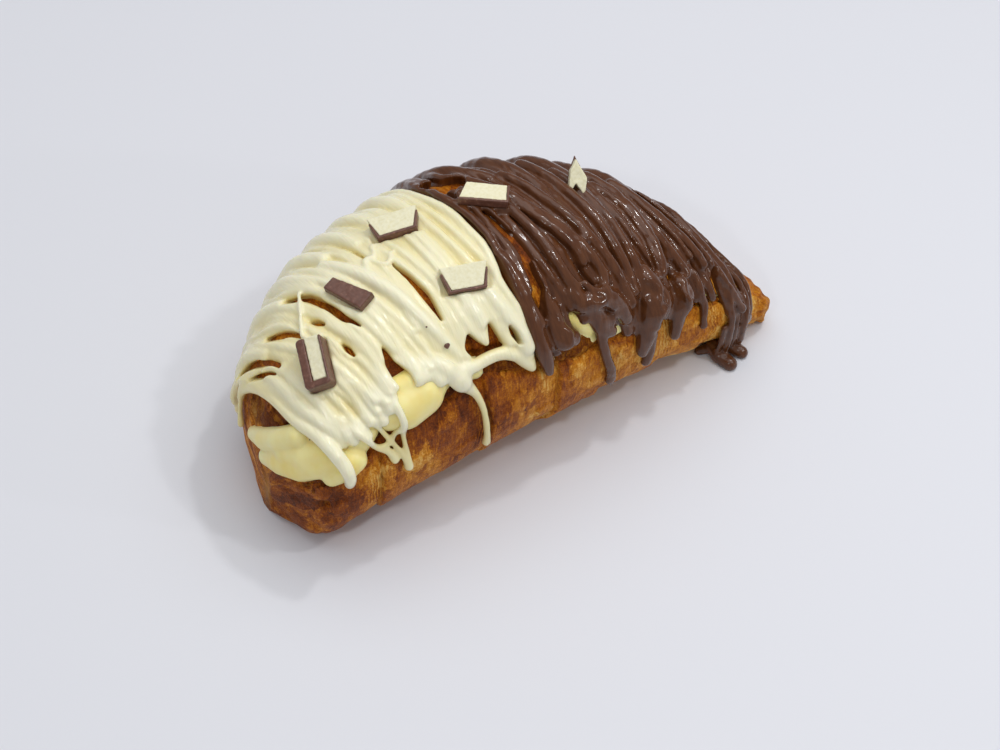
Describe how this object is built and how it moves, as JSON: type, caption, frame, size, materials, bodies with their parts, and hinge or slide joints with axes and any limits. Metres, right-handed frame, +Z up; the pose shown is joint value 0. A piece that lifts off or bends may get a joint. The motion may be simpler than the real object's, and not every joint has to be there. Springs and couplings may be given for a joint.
{
  "type": "cream-filled croissant",
  "caption": "Large croissant cut open along one side, filled with piped cream and coated in white and milk chocolate strands, with slices of filled chocolate bar on top.",
  "frame": {"origin": "a point on the croissant's flat base, near the middle of its length", "axes": "+X along the croissant to its thin tip, +Z up, and -Y to the side along which it is cut open"},
  "size_m": [0.1893, 0.0899, 0.0828],
  "materials": {
    "crust": "baked flaky pastry, golden brown, satin where the butter glazed it",
    "cream": "smooth soft pastry cream, pale yellow",
    "white_chocolate": "set white chocolate in thick merged strands, satin",
    "milk_chocolate": "milk chocolate in thick merged strands, wet gloss",
    "bar_chocolate": "moulded chocolate with a cut edge, satin",
    "bar_filling": "cut milk filling, matt and slightly crumbly"
  },
  "bodies": {
    "root": {"croissant_crust": "crust", "cream_filling": "cream", "white_chocolate_coat": "white_chocolate", "milk_chocolate_coat": "milk_chocolate", "bar_slice_left_shell": "bar_chocolate", "bar_slice_left_filling": "bar_filling", "bar_slice_mid_shell": "bar_chocolate", "bar_slice_mid_filling": "bar_filling", "bar_slice_top_shell": "bar_chocolate", "bar_slice_top_filling": "bar_filling", "bar_end_chunk_shell": "bar_chocolate", "bar_end_chunk_filling": "bar_filling", "bar_spire_shell": "bar_chocolate", "bar_spire_filling": "bar_filling", "bar_chip_shell": "bar_chocolate"}
  },
  "joints": []
}
